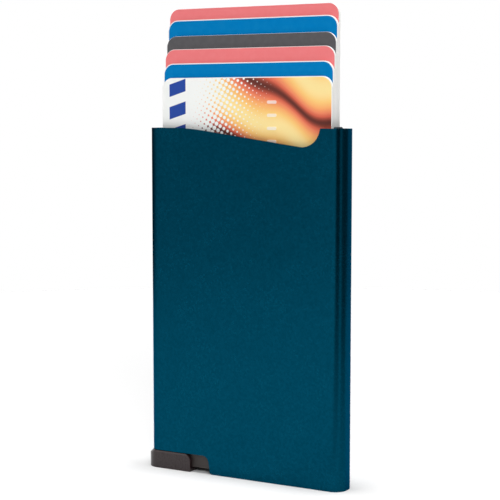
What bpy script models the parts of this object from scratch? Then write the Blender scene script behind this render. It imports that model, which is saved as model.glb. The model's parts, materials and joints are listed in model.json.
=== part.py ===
"""Pop up card holder: a slim metal sleeve whose slide lifts a fan of six cards.

Metres, +Z up. The front faces -Y, and the slide is at the front view's left, -X.
The origin is the bottom centre of the sleeve, on the base's flat underside.
"""
import math

import bmesh
import bpy
from mathutils import Matrix, Vector

# Cards, the common bank card format
CARD_COUNT = 6
CARD_WIDTH = 0.05398
CARD_HEIGHT = 0.0856
CARD_THICKNESS = 0.00076
CARD_CORNER_RADIUS = 0.00318
CARD_GAP = 0.00006            # air between two cards
FIRST_CARD_SHOWS = 0.0141     # front card, raised, above the rim
CARD_STEP = 0.00395           # each card behind it stands this much higher
# Cards that a finger pulled a little past their step, as shares of a step, front to back
CARD_PULL_SHARES = (0.0, 0.04, 0.065, 0.01, 0.164, 0.0)

# Sleeve
CASE_WALL = 0.0010
CASE_CORNER_RADIUS = 0.0034
RIM_ABOVE_CARDS = 0.0010      # rim over the cards when they are down
NOTCH_TOP_RADIUS = 0.0020
NOTCH_LEAN = 0.0008           # its right end's top lies this far left of its foot
NOTCH_FOOT_RADIUS = 0.0007

# Thumb cut-out in the front wall
CUT_CORNER_DEPTH = 0.00595    # rim to where the slope would meet the right end
CUT_LEFT_MARGIN = 0.0131      # case's left side to where the slope would meet the rim
CUT_RIGHT_MARGIN = 0.00688    # cut-out's right end to the case's right side
CUT_START_RADIUS = 0.069
CUT_END_RADIUS = 0.00577

# Friction strips, their soft backing and the felt liners
EDGE_GAP = 0.00021            # card edge to strip
STRIP_THICKNESS = 0.0010
STRIP_SIDE_GAP = 0.0010       # strip's long edges to the wide walls
STRIP_FOOT_GAP = 0.0009       # strip's foot above the cards' seat
RIGHT_STRIP_SHOWS = 0.00042   # rounded end above the rim
LEFT_STRIP_DEPTH = 0.0018     # its end below the rim
FOAM_THICKNESS = 0.00175
FOAM_DEPTH_BELOW_RIM = 0.0025
SEAT_GAP = 0.0001
LINER_GAP = 0.00017           # card face to felt
LINER_THICKNESS = 0.00055
LINER_SEAT_GAP = 0.00005
LINER_MARGIN = 0.0040         # inside the cards' edges
LINER_FOOT_RISE = 0.0113      # above the cards' seat
LINER_BELOW_CUT = 0.003
LINER_CORNER_RADIUS = 0.003

# Slide: a shoe around the case's lower left corner
SHOE_LENGTH = 0.0152
SHOE_HEIGHT = 0.00502
SHOE_LIFT = 0.00005           # above the surface that the case stands on
SHOE_PROUD_FRONT = 0.00035
SHOE_PROUD_SIDE = 0.00105
SHOE_SIDE_GAP = 0.00025       # inside of its side walls to the base's rails
SHOE_END_WALL = 0.0013
SHOE_FLOOR = 0.00105
SHOE_TOP_RADIUS = 0.0020
SHOE_GAP = 0.00018            # to the notch's top edge
SHOE_END_GAP = 0.00095        # to the notch's right edge when pushed
TRAVEL = 0.0056
DRIVE_WALL_LEFT = 0.0014
DRIVE_WALL_RIGHT = 0.0008
DRIVE_WALL_DROP = 0.0007      # below the shoe's top edge
DRIVE_WALL_OVER = 0.0001      # wider than the lever's tip, each side
HOOK_THICKNESS = 0.00055
HOOK_LIP = 0.00045
HOOK_LIP_HEIGHT = 0.0006
HOOK_HEIGHT = 0.0025
HOOK_LENGTH = 0.0042
HOOK_END_GAP = 0.0004         # hook's right end to the shoe's right end
HOOK_SIDE_GAP = 0.00015

# Base frame
BASE_GAP = 0.00015            # to the sleeve's inner wall
BASE_WALL = 0.0009
BASE_FLOOR = 0.0016
BASE_BAND = 0.00215           # height of its side walls above the notch
BASE_OVER_NOTCH = 0.0001      # underside of that band above the notch's top edge
RAIL_FOOT_GAP = 0.0002        # rails above the shoe's floor
RAIL_START_GAP = 0.0003       # rails' left end to the pushed shoe's round inner corner
END_WALL = 0.0012
END_WALL_GAP = 0.0004         # end wall right of the notch's edge
LEVER_RUN_GAP = 0.0003        # rest pad to the lever
LEVER_WALL_GAP = 0.0007       # base's side walls to the lever
EAR_WALL = 0.00085
REST_RIB_THICKNESS = 0.0009
REST_RIB_OFFSET = 0.0026      # right of the end wall
RIB_THICKNESS = 0.0008
RIB_COUNT = 2
POST_OVERLAP = 0.0010         # right post under the cards' edges

# Ejector lever
DRIVE_LEAN = 0.0024           # the drive arm's tip hangs this far left of the pivot at rest
DRIVE_TIP_RADIUS = 0.0009
DRIVE_ARM_INSET = 0.00045     # drive arm narrower than the boss, each side
DRIVE_SHANK = 0.0011
DRIVE_GAP = 0.0002
TIP_FLOOR_GAP = 0.00135
BOSS_WALL = 0.00075
BOSS_SIDE_GAP = 0.0002
ROOT_SHARE = 0.85             # height of the arm's root between the ears, of the boss's
LIFT_ARM_TIP_DEPTH = 0.0024
LIFT_TIP_RADIUS = 0.0008
LIFT_GAP = 0.0003             # lever to card, raised and down
EAR_CLEAR = 0.0005            # wide part of the arm to the ears and to the front shelf
LEVER_END_GAP = 0.00085       # longest layer to the right post
PIN_RADIUS = 0.00075
PIN_GAP = 0.0001
PIN_END_GAP = 0.00025         # pin's ends to the sleeve's inner wall

# Return spring
SPRING_WIRE_RADIUS = 0.00017
SPRING_SIDE_GAP = 0.00018     # to the slide's hooks
SPRING_TURNS = 11
SPRING_SEAT_GAP = 0.0002
SPRING_NUB_GAP = 0.00023      # inside of the wire to the nub
SPRING_NUB_LENGTH = 0.0012

OVERRUN = 0.002               # how far a cutter passes the faces that it cuts
ROUND_LIMIT_SHARE = 0.97      # the most that a rounding takes of the room it has
CORNER_STEPS = 12
ROUND_STEPS = 32
POINTS_PER_TURN = 10

# Worked out from the sizes above: depth, front to back
PITCH = CARD_THICKNESS + CARD_GAP
STACK_HALF = (CARD_COUNT * PITCH - CARD_GAP) / 2
INNER_HALF_DEPTH = STACK_HALF + LINER_GAP + LINER_THICKNESS + LINER_SEAT_GAP
CASE_HALF_DEPTH = INNER_HALF_DEPTH + CASE_WALL
INNER_RADIUS = min(CASE_CORNER_RADIUS - CASE_WALL, INNER_HALF_DEPTH * ROUND_LIMIT_SHARE)
OUTER_RADIUS = INNER_RADIUS + CASE_WALL
STRIP_HALF = INNER_HALF_DEPTH - STRIP_SIDE_GAP
BASE_HALF_DEPTH = INNER_HALF_DEPTH - BASE_GAP
BASE_INNER_HALF_DEPTH = BASE_HALF_DEPTH - BASE_WALL
LEVER_HALF_WIDTH = BASE_INNER_HALF_DEPTH - BOSS_SIDE_GAP
DRIVE_ARM_HALF = LEVER_HALF_WIDTH - DRIVE_ARM_INSET
SHOE_HALF_DEPTH = CASE_HALF_DEPTH + SHOE_PROUD_FRONT
SHOE_INNER_HALF_DEPTH = BASE_HALF_DEPTH + SHOE_SIDE_GAP
HOOK_OUTER = BASE_INNER_HALF_DEPTH - HOOK_SIDE_GAP
SPRING_RADIUS = HOOK_OUTER - HOOK_THICKNESS - SPRING_SIDE_GAP - SPRING_WIRE_RADIUS
SPRING_NUB_RADIUS = SPRING_RADIUS - SPRING_WIRE_RADIUS - SPRING_NUB_GAP

# Across
CARD_HALF = CARD_WIDTH / 2
STRIP_INNER = CARD_HALF + EDGE_GAP
FOAM_INNER = STRIP_INNER + STRIP_THICKNESS + SEAT_GAP
INNER_HALF_WIDTH = FOAM_INNER + FOAM_THICKNESS + SEAT_GAP
CASE_HALF_WIDTH = INNER_HALF_WIDTH + CASE_WALL
BASE_HALF_WIDTH = INNER_HALF_WIDTH - BASE_GAP
SHOE_LEFT = -CASE_HALF_WIDTH - SHOE_PROUD_SIDE
SHOE_INNER_LEFT = SHOE_LEFT + SHOE_END_WALL
SHOE_RIGHT = SHOE_LEFT + SHOE_LENGTH
NOTCH_RIGHT = SHOE_RIGHT + TRAVEL + SHOE_END_GAP
DRIVE_SLOT_LEFT = SHOE_INNER_LEFT + DRIVE_WALL_LEFT
TIP_X = DRIVE_SLOT_LEFT + DRIVE_GAP + DRIVE_TIP_RADIUS
DRIVE_SLOT_RIGHT = TIP_X + DRIVE_TIP_RADIUS + DRIVE_GAP
DRIVE_RIGHT = DRIVE_SLOT_RIGHT + DRIVE_WALL_RIGHT
PIVOT_X = TIP_X + DRIVE_LEAN
END_WALL_LEFT = NOTCH_RIGHT + END_WALL_GAP
END_WALL_RIGHT = END_WALL_LEFT + END_WALL
SHOE_OUTER_RADIUS = OUTER_RADIUS + SHOE_PROUD_FRONT
SHOE_INNER_RADIUS = SHOE_OUTER_RADIUS - (SHOE_HALF_DEPTH - SHOE_INNER_HALF_DEPTH)
RAIL_LEFT = SHOE_INNER_LEFT + TRAVEL + SHOE_INNER_RADIUS + RAIL_START_GAP
EAR_RADIUS = PIN_RADIUS + EAR_WALL
BOSS_RADIUS = PIN_RADIUS + BOSS_WALL
POST_LEFT = CARD_HALF - POST_OVERLAP
LAST_REACH = POST_LEFT - LEVER_END_GAP
CUT_RIGHT_END = CASE_HALF_WIDTH - CUT_RIGHT_MARGIN
CUT_SLOPE_START = -CASE_HALF_WIDTH + CUT_LEFT_MARGIN

# Up
SHOE_TOP = SHOE_LIFT + SHOE_HEIGHT
SHOE_FLOOR_TOP = SHOE_LIFT + SHOE_FLOOR
NOTCH_TOP = SHOE_TOP + SHOE_GAP
RAIL_FOOT = SHOE_FLOOR_TOP + RAIL_FOOT_GAP
BASE_WALL_TOP = NOTCH_TOP + BASE_OVER_NOTCH + BASE_BAND
SPRING_Z = RAIL_FOOT + SPRING_RADIUS + SPRING_WIRE_RADIUS + SPRING_SEAT_GAP


def card_rise(index):
    """How far a card's own layer lifts it, from the seat, the front card being index 0."""
    return RIM_ABOVE_CARDS + FIRST_CARD_SHOWS + index * CARD_STEP


def lever_swing():
    """The angle that brings the longest layer's round tip up to the rear card's raised edge."""
    spoke = LAST_REACH - PIVOT_X - LIFT_TIP_RADIUS
    corner_up = EAR_RADIUS - LIFT_TIP_RADIUS
    lift = EAR_RADIUS + card_rise(CARD_COUNT - 1) - LIFT_TIP_RADIUS
    return math.asin(lift / math.hypot(spoke, corner_up)) - math.atan2(corner_up, spoke)


def layer_reach(index):
    """Where the layer ends whose tip lifts this card to its step."""
    corner_up = EAR_RADIUS - LIFT_TIP_RADIUS
    lift = EAR_RADIUS + card_rise(index) - LIFT_TIP_RADIUS
    spoke = (lift - corner_up * math.cos(LEVER_SWING)) / math.sin(LEVER_SWING)
    return PIVOT_X + spoke + LIFT_TIP_RADIUS


# The lever: the drive arm is as long as turns the slide's travel into the swing
LEVER_SWING = lever_swing()
FIRST_REACH = layer_reach(0)
DRIVE_REST = TRAVEL - DRIVE_LEAN
DRIVE_ARM = math.sqrt(DRIVE_LEAN ** 2 + DRIVE_REST ** 2
                      + 2 * DRIVE_LEAN * DRIVE_REST * math.cos(LEVER_SWING)) / math.sin(LEVER_SWING)
PIVOT_Z = SHOE_FLOOR_TOP + TIP_FLOOR_GAP + DRIVE_TIP_RADIUS + DRIVE_ARM
TIP_Z = PIVOT_Z - math.sqrt(DRIVE_ARM ** 2 - DRIVE_LEAN ** 2)
EAR_TOP = PIVOT_Z + EAR_RADIUS
LIFT_ARM_TOP = EAR_TOP
LIFT_ARM_FOOT = BASE_WALL_TOP + LEVER_WALL_GAP

# The cards' seat and the height of the sleeve
CARD_SEAT = EAR_TOP + LIFT_GAP
CASE_HEIGHT = CARD_SEAT + CARD_HEIGHT + RIM_ABOVE_CARDS
STRIP_FOOT = CARD_SEAT + STRIP_FOOT_GAP


def card_bottom(index):
    """Height of a raised card's lower edge, with what a finger pulled it past its step."""
    pull_share = CARD_PULL_SHARES[index % len(CARD_PULL_SHARES)]
    return CARD_SEAT + card_rise(index) + pull_share * CARD_STEP


def material(name, red, green, blue, roughness, metallic=0.0):
    """A plain finish from an sRGB colour."""
    def linear(value):
        return value / 12.92 if value <= 0.04045 else ((value + 0.055) / 1.055) ** 2.4

    made = bpy.data.materials.new(name)
    made.use_nodes = True
    shader = made.node_tree.nodes["Principled BSDF"]
    shader.inputs["Base Color"].default_value = (linear(red), linear(green), linear(blue), 1)
    shader.inputs["Roughness"].default_value = roughness
    shader.inputs["Metallic"].default_value = metallic
    return made


def rounded_rectangle(left, right, low, high, radius, steps=CORNER_STEPS):
    """Points of a rectangle with round corners, anticlockwise."""
    points = []
    corners = ((right - radius, high - radius, 0), (left + radius, high - radius, 1),
               (left + radius, low + radius, 2), (right - radius, low + radius, 3))
    for centre_u, centre_v, quarter in corners:
        for step in range(steps + 1):
            angle = math.radians(90) * (quarter + step / steps)
            points.append((centre_u + radius * math.cos(angle), centre_v + radius * math.sin(angle)))
    return points


def filleted(corners, steps=CORNER_STEPS):
    """Points of a closed outline given as (u, v, radius), each corner rounded by its radius."""
    points = []
    for index, (u, v, radius) in enumerate(corners):
        corner = Vector((u, v))
        if not radius:
            points.append((u, v))
            continue
        before = (Vector(corners[index - 1][:2]) - corner).normalized()
        after = (Vector(corners[(index + 1) % len(corners)][:2]) - corner).normalized()
        half = before.angle(after) / 2
        middle = corner + (before + after).normalized() * (radius / math.sin(half))
        first = corner + before * (radius / math.tan(half)) - middle
        last = corner + after * (radius / math.tan(half)) - middle
        turn = math.atan2(first.x * last.y - first.y * last.x, first.dot(last))
        for step in range(steps + 1):
            angle = turn * step / steps
            spoke = Vector((first.x * math.cos(angle) - first.y * math.sin(angle),
                            first.x * math.sin(angle) + first.y * math.cos(angle)))
            points.append(tuple(middle + spoke))
    return points


def circle(centre_u, centre_v, radius, steps=ROUND_STEPS):
    """Points of a circle, anticlockwise."""
    turns = (math.tau * step / steps for step in range(steps))
    return [(centre_u + radius * math.cos(turn), centre_v + radius * math.sin(turn)) for turn in turns]


def prism(name, outline, start, end, axis):
    """A solid: the outline extruded from start to end along X, Y or Z."""
    places = {"X": lambda u, v, w: (w, u, v),
              "Y": lambda u, v, w: (u, w, v),
              "Z": lambda u, v, w: (u, v, w)}
    place = places[axis]
    mesh = bmesh.new()
    face = mesh.faces.new([mesh.verts.new(place(u, v, start)) for u, v in outline])
    grown = bmesh.ops.extrude_face_region(mesh, geom=[face])["geom"]
    moved = [item for item in grown if isinstance(item, bmesh.types.BMVert)]
    bmesh.ops.translate(mesh, vec=place(0, 0, end - start), verts=moved)
    bmesh.ops.recalc_face_normals(mesh, faces=mesh.faces)
    data = bpy.data.meshes.new(name)
    mesh.to_mesh(data)
    mesh.free()
    solid = bpy.data.objects.new(name, data)
    bpy.context.scene.collection.objects.link(solid)
    return solid


def box(name, low, high):
    """A plain block between two corners."""
    outline = [(low[0], low[1]), (high[0], low[1]), (high[0], high[1]), (low[0], high[1])]
    return prism(name, outline, low[2], high[2], "Z")


def combine(target, tool, operation):
    """Join a tool to the target, or cut it out, and remove the tool."""
    modifier = target.modifiers.new(operation.title(), "BOOLEAN")
    modifier.operation = operation
    modifier.solver = "EXACT"
    modifier.object = tool
    with bpy.context.temp_override(object=target, active_object=target):
        bpy.ops.object.modifier_apply(modifier=modifier.name)
    bpy.data.objects.remove(tool)


def cut(target, tool):
    """Cut the tool out of the target."""
    combine(target, tool, "DIFFERENCE")


def join(target, tool):
    """Join the tool to the target."""
    combine(target, tool, "UNION")


def finish(solid, finish_material, origin=(0, 0, 0), smooth_angle=35):
    """Give the solid its finish, its round faces and its origin."""
    solid.data.materials.clear()
    solid.data.materials.append(finish_material)
    solid.data.shade_smooth()
    solid.data.set_sharp_from_angle(angle=math.radians(smooth_angle))
    solid.data.transform(Matrix.Translation(-Vector(origin)))
    solid.location = origin
    return solid


def quarter_round(centre_u, centre_v, radius, steps=CORNER_STEPS):
    """Points of a quarter circle, clockwise from its top to its right."""
    turns = (math.radians(90) * step / steps for step in range(steps + 1))
    return [(centre_u + radius * math.sin(turn), centre_v + radius * math.cos(turn)) for turn in turns]


def thumb_cut_outline():
    """Front view of the slanted cut-out, closed above the rim."""
    rim = CASE_HEIGHT
    top = rim + OVERRUN
    corner = rim - CUT_CORNER_DEPTH
    slope = math.atan2(CUT_CORNER_DEPTH, CUT_RIGHT_END - CUT_SLOPE_START)
    # A fillet's length along its wall stays inside the room that it has there
    start_share = math.tan(slope / 2)
    start_round = min(CUT_START_RADIUS * start_share, CUT_LEFT_MARGIN * ROUND_LIMIT_SHARE)
    end_share = math.tan((math.radians(90) + slope) / 2)
    end_round = min(CUT_END_RADIUS * end_share, (top - corner) * ROUND_LIMIT_SHARE)
    start = CUT_SLOPE_START - start_round
    outline = filleted([(start, rim, 0), (CUT_SLOPE_START, rim, start_round / start_share),
                        (CUT_RIGHT_END, corner, end_round / end_share),
                        (CUT_RIGHT_END, top, 0), (start, top, 0)])
    # The first fillet begins where the outline does, so its own first point is left out
    return outline[1:]


def notch_outline():
    """Front view of the notch at the lower left, with the rounded foot at its right."""
    left = SHOE_LEFT - OVERRUN
    foot = NOTCH_FOOT_RADIUS
    outline = filleted([(left, -OVERRUN, 0), (NOTCH_RIGHT + foot, -OVERRUN, 0),
                        (NOTCH_RIGHT + foot, 0, 0), (NOTCH_RIGHT, 0, 0),
                        (NOTCH_RIGHT - NOTCH_LEAN, NOTCH_TOP, NOTCH_TOP_RADIUS), (left, NOTCH_TOP, 0)])
    # The square foot becomes a quarter round that flares outwards
    flare = quarter_round(NOTCH_RIGHT + foot, foot, -foot)
    return outline[:2] + flare + outline[4:]


def case_sleeve():
    """The extruded sleeve with its thumb cut-out and the notch for the slide."""
    case = prism("case_sleeve", rounded_rectangle(
        -CASE_HALF_WIDTH, CASE_HALF_WIDTH, -CASE_HALF_DEPTH, CASE_HALF_DEPTH, OUTER_RADIUS),
        0, CASE_HEIGHT, "Z")
    cut(case, prism("bore", rounded_rectangle(
        -INNER_HALF_WIDTH, INNER_HALF_WIDTH, -INNER_HALF_DEPTH, INNER_HALF_DEPTH, INNER_RADIUS),
        -OVERRUN, CASE_HEIGHT + OVERRUN, "Z"))
    cut(case, prism("thumb_cut", thumb_cut_outline(), -CASE_HALF_DEPTH - OVERRUN, 0, "Y"))
    cut(case, prism("notch", notch_outline(), -CASE_HALF_DEPTH - OVERRUN, CASE_HALF_DEPTH + OVERRUN, "Y"))
    return finish(case, material("anodised_teal", 0.01, 0.24, 0.32, 0.42, 0.6))


def base_frame():
    """The plastic frame that closes the sleeve's foot and carries slide, lever and spring."""
    base = prism("base_frame", rounded_rectangle(
        -BASE_HALF_WIDTH, BASE_HALF_WIDTH, -BASE_HALF_DEPTH, BASE_HALF_DEPTH, INNER_RADIUS - BASE_GAP),
        0, BASE_WALL_TOP, "Z")
    # The shelf at the front and the post at the right, which the cards rest on when down
    shelf_left = FIRST_REACH + EAR_CLEAR
    shelf = prism("shelf", rounded_rectangle(
        shelf_left, BASE_HALF_WIDTH, -BASE_HALF_DEPTH, BASE_HALF_DEPTH, INNER_RADIUS - BASE_GAP),
        BASE_FLOOR, EAR_TOP, "Z")
    inner_radius = INNER_RADIUS - BASE_GAP - BASE_WALL
    cut(shelf, box("shelf_bore", (shelf_left - OVERRUN, -BASE_INNER_HALF_DEPTH, 0),
                   (POST_LEFT, BASE_HALF_DEPTH + OVERRUN, EAR_TOP + OVERRUN)))
    cut(base, prism("well", rounded_rectangle(
        END_WALL_RIGHT, BASE_HALF_WIDTH - BASE_WALL, -BASE_INNER_HALF_DEPTH, BASE_INNER_HALF_DEPTH,
        inner_radius), BASE_FLOOR, BASE_WALL_TOP + OVERRUN, "Z"))
    join(base, shelf)
    cut(base, prism("slide_bay", rounded_rectangle(
        -BASE_HALF_WIDTH + BASE_WALL, END_WALL_LEFT, -BASE_INNER_HALF_DEPTH, BASE_INNER_HALF_DEPTH,
        inner_radius), -OVERRUN, BASE_WALL_TOP + OVERRUN, "Z"))
    far_left = -BASE_HALF_WIDTH - OVERRUN
    wide = BASE_HALF_DEPTH + OVERRUN
    band_foot = NOTCH_TOP + BASE_OVER_NOTCH
    cut(base, box("shoe_floor_path", (far_left, -wide, -OVERRUN), (END_WALL_LEFT, wide, RAIL_FOOT)))
    cut(base, box("shoe_end_path", (far_left, -wide, -OVERRUN), (RAIL_LEFT, wide, band_foot)))
    # Ears for the pin, and grooves for the slide's hooks
    ear_foot = BASE_WALL_TOP - BASE_WALL
    groove_foot = SHOE_FLOOR_TOP + HOOK_HEIGHT - HOOK_LIP_HEIGHT - HOOK_SIDE_GAP
    groove_top = SHOE_FLOOR_TOP + HOOK_HEIGHT + HOOK_SIDE_GAP
    for side in (-1, 1):
        ear = prism("ear", filleted([
            (PIVOT_X - EAR_RADIUS, ear_foot, 0), (PIVOT_X + EAR_RADIUS, ear_foot, 0),
            (PIVOT_X + EAR_RADIUS, EAR_TOP, EAR_RADIUS - SEAT_GAP),
            (PIVOT_X - EAR_RADIUS, EAR_TOP, EAR_RADIUS - SEAT_GAP)]),
            side * BASE_INNER_HALF_DEPTH, side * BASE_HALF_DEPTH, "Y")
        join(base, ear)
        bottom = side * (BASE_INNER_HALF_DEPTH + HOOK_LIP)
        cut(base, box("groove", (RAIL_LEFT - OVERRUN, min(0, bottom), groove_foot),
                      (END_WALL_LEFT - HOOK_SIDE_GAP, max(0, bottom), groove_top)))
    cut(base, prism("pin_hole", circle(PIVOT_X, PIVOT_Z, PIN_RADIUS + PIN_GAP), -wide, wide, "Y"))
    # A rib for the lever to lie on, and stiffening ribs in the well
    rest = END_WALL_RIGHT + REST_RIB_OFFSET
    rest_end = rest + REST_RIB_THICKNESS
    inside = BASE_INNER_HALF_DEPTH + BASE_WALL / 2
    join(base, box("rest_rib", (rest, -inside, BASE_FLOOR / 2),
                   (rest_end, inside, BASE_WALL_TOP - BASE_WALL / 2)))
    join(base, box("rest_pad", (rest, -LEVER_HALF_WIDTH, BASE_FLOOR),
                   (rest_end, LEVER_HALF_WIDTH, LIFT_ARM_FOOT - LEVER_RUN_GAP)))
    for number in range(RIB_COUNT):
        place = rest + (POST_LEFT - rest) * (number + 1) / (RIB_COUNT + 1)
        join(base, box("rib", (place, -inside, BASE_FLOOR / 2),
                       (place + RIB_THICKNESS, inside, BASE_WALL_TOP - BASE_WALL)))
    join(base, prism("spring_nub", circle(0, SPRING_Z, SPRING_NUB_RADIUS),
                     END_WALL_LEFT - SPRING_NUB_LENGTH, END_WALL_RIGHT - END_WALL / 2, "X"))
    return finish(base, material("base_plastic", 0.22, 0.21, 0.20, 0.55))


def finger_slide():
    """The shoe around the corner, with the slot that drives the lever and its two hooks."""
    blank_right = SHOE_RIGHT + SHOE_LENGTH
    shoe = prism("finger_slide", rounded_rectangle(
        SHOE_LEFT, blank_right, -SHOE_HALF_DEPTH, SHOE_HALF_DEPTH, SHOE_OUTER_RADIUS),
        SHOE_LIFT, SHOE_TOP, "Z")
    cut(shoe, prism("shoe_well", rounded_rectangle(
        SHOE_INNER_LEFT, blank_right + OVERRUN, -SHOE_INNER_HALF_DEPTH, SHOE_INNER_HALF_DEPTH,
        SHOE_INNER_RADIUS), SHOE_FLOOR_TOP, SHOE_TOP + OVERRUN, "Z"))
    # The right end, with its upper corner rounded
    round_left = SHOE_RIGHT - SHOE_TOP_RADIUS
    end = [(SHOE_RIGHT, SHOE_LIFT - OVERRUN), (blank_right + OVERRUN, SHOE_LIFT - OVERRUN),
           (blank_right + OVERRUN, SHOE_TOP + OVERRUN), (round_left, SHOE_TOP + OVERRUN)]
    end += quarter_round(round_left, SHOE_TOP - SHOE_TOP_RADIUS, SHOE_TOP_RADIUS)
    wide = SHOE_HALF_DEPTH + OVERRUN
    cut(shoe, prism("shoe_end", end, -wide, wide, "Y"))
    floor = SHOE_FLOOR_TOP - SHOE_FLOOR / 2
    half = DRIVE_ARM_HALF + DRIVE_WALL_OVER
    drive_top = SHOE_TOP - DRIVE_WALL_DROP
    join(shoe, box("drive_wall_left", (SHOE_INNER_LEFT - SHOE_END_WALL / 2, -half, floor),
                   (DRIVE_SLOT_LEFT, half, drive_top)))
    join(shoe, box("drive_wall_right", (DRIVE_SLOT_RIGHT, -half, floor), (DRIVE_RIGHT, half, drive_top)))
    join(shoe, prism("spring_nub", circle(0, SPRING_Z, SPRING_NUB_RADIUS),
                     DRIVE_RIGHT - DRIVE_WALL_RIGHT / 2, DRIVE_RIGHT + SPRING_NUB_LENGTH, "X"))
    # Hooks that run in the base's grooves and keep the slide on
    hook_right = SHOE_RIGHT - HOOK_END_GAP
    hook_top = SHOE_FLOOR_TOP + HOOK_HEIGHT
    lip = HOOK_OUTER + HOOK_LIP - HOOK_SIDE_GAP / 2
    lip_foot = hook_top - HOOK_LIP_HEIGHT
    inner = HOOK_OUTER - HOOK_THICKNESS
    for side in (-1, 1):
        profile = [(inner, floor), (HOOK_OUTER, floor), (HOOK_OUTER, lip_foot), (lip, lip_foot),
                   (lip, hook_top), (inner, hook_top)]
        join(shoe, prism("hook", [(side * across, up) for across, up in profile],
                         hook_right - HOOK_LENGTH, hook_right, "X"))
    return finish(shoe, material("slide_plastic", 0.25, 0.235, 0.225, 0.5))


def ejector_lever():
    """The stepped arm: one layer for each card, each one longer than the layer in front of it."""
    half = LEVER_HALF_WIDTH
    lever = prism("ejector_lever", circle(PIVOT_X, PIVOT_Z, BOSS_RADIUS), -half, half, "Y")
    # The drive arm, from the boss down to its round tip
    along = Vector((TIP_X - PIVOT_X, TIP_Z - PIVOT_Z)).normalized()
    across = Vector((-along.y, along.x)) * (DRIVE_SHANK / 2)
    top = Vector((PIVOT_X, PIVOT_Z)) + along * (PIN_RADIUS + PIN_GAP)
    foot = Vector((TIP_X, TIP_Z))
    shank = [tuple(point) for point in (top - across, top + across, foot + across, foot - across)]
    join(lever, prism("shank", shank, -DRIVE_ARM_HALF, DRIVE_ARM_HALF, "Y"))
    join(lever, prism("drive_tip", circle(TIP_X, TIP_Z, DRIVE_TIP_RADIUS),
                      -DRIVE_ARM_HALF, DRIVE_ARM_HALF, "Y"))
    # The root of the lifting arm passes between the ears, then the arm is as wide as the cards
    wide_start = PIVOT_X + EAR_RADIUS + EAR_CLEAR
    root_half = BOSS_RADIUS * ROOT_SHARE
    join(lever, box("root", (PIVOT_X, -half, PIVOT_Z - root_half),
                    (wide_start + EAR_WALL, half, PIVOT_Z + root_half)))
    arm = prism("arm", filleted([
        (wide_start, LIFT_ARM_FOOT, 0), (FIRST_REACH, LIFT_ARM_FOOT, 0),
        (LAST_REACH, LIFT_ARM_TOP - LIFT_ARM_TIP_DEPTH, 0), (LAST_REACH, LIFT_ARM_TOP, LIFT_TIP_RADIUS),
        (wide_start, LIFT_ARM_TOP, 0)]), -STACK_HALF, STACK_HALF, "Y")
    # Each layer in front of the last one ends sooner, in a round-topped step
    above = LIFT_ARM_TOP + OVERRUN
    below = LIFT_ARM_FOOT - OVERRUN
    beyond = LAST_REACH + OVERRUN
    for index in range(CARD_COUNT - 1):
        reach = layer_reach(index)
        back = -STACK_HALF + (index + 1) * PITCH - CARD_GAP / 2
        round_left = reach - LIFT_TIP_RADIUS
        step = [(reach, below), (beyond, below), (beyond, above), (round_left, above)]
        step += quarter_round(round_left, LIFT_ARM_TOP - LIFT_TIP_RADIUS, LIFT_TIP_RADIUS)
        cut(arm, prism("step", step, -STACK_HALF - OVERRUN, back, "Y"))
    join(lever, arm)
    cut(lever, prism("pin_hole", circle(PIVOT_X, PIVOT_Z, PIN_RADIUS + PIN_GAP), -half - OVERRUN,
                     half + OVERRUN, "Y"))
    return finish(lever, material("lever_plastic", 0.16, 0.16, 0.17, 0.45), (PIVOT_X, 0, PIVOT_Z))


def pivot_pin():
    """The steel pin through both ears and the lever's boss."""
    half = INNER_HALF_DEPTH - PIN_END_GAP
    pin = prism("pivot_pin", circle(PIVOT_X, PIVOT_Z, PIN_RADIUS), -half, half, "Y")
    return finish(pin, material("pin_steel", 0.62, 0.62, 0.64, 0.3, 1.0))


def return_spring():
    """A compression spring between the slide's drive wall and the base's end wall."""
    start = DRIVE_RIGHT + SPRING_SEAT_GAP + SPRING_WIRE_RADIUS
    end = END_WALL_LEFT - SPRING_SEAT_GAP - SPRING_WIRE_RADIUS
    count = SPRING_TURNS * POINTS_PER_TURN
    curve = bpy.data.curves.new("return_spring", "CURVE")
    curve.dimensions = "3D"
    curve.bevel_depth = SPRING_WIRE_RADIUS
    curve.bevel_resolution = 1
    curve.use_fill_caps = True
    wire = curve.splines.new("POLY")
    wire.points.add(count)
    for number, point in enumerate(wire.points):
        turn = math.tau * number / POINTS_PER_TURN
        along = start + (end - start) * number / count
        point.co = (along, SPRING_RADIUS * math.cos(turn), SPRING_Z + SPRING_RADIUS * math.sin(turn), 1)
    spring = bpy.data.objects.new("return_spring", curve)
    bpy.context.scene.collection.objects.link(spring)
    curve.materials.append(material("spring_steel", 0.6, 0.6, 0.62, 0.3, 1.0))
    pitch = (end - start) / SPRING_TURNS
    print(f"least gap between the spring's turns, in metres: {pitch - 2 * SPRING_WIRE_RADIUS:.5f}")
    return spring


def edge_strip(name, side, top):
    """A friction strip with a round top, beside the cards' edges."""
    outline = filleted([(-STRIP_HALF, STRIP_FOOT, 0), (STRIP_HALF, STRIP_FOOT, 0),
                        (STRIP_HALF, top, STRIP_THICKNESS), (-STRIP_HALF, top, STRIP_THICKNESS)])
    strip = prism(name, outline, side * STRIP_INNER, side * (STRIP_INNER + STRIP_THICKNESS), "X")
    return finish(strip, material("strip_plastic", 0.10, 0.16, 0.20, 0.5))


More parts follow.
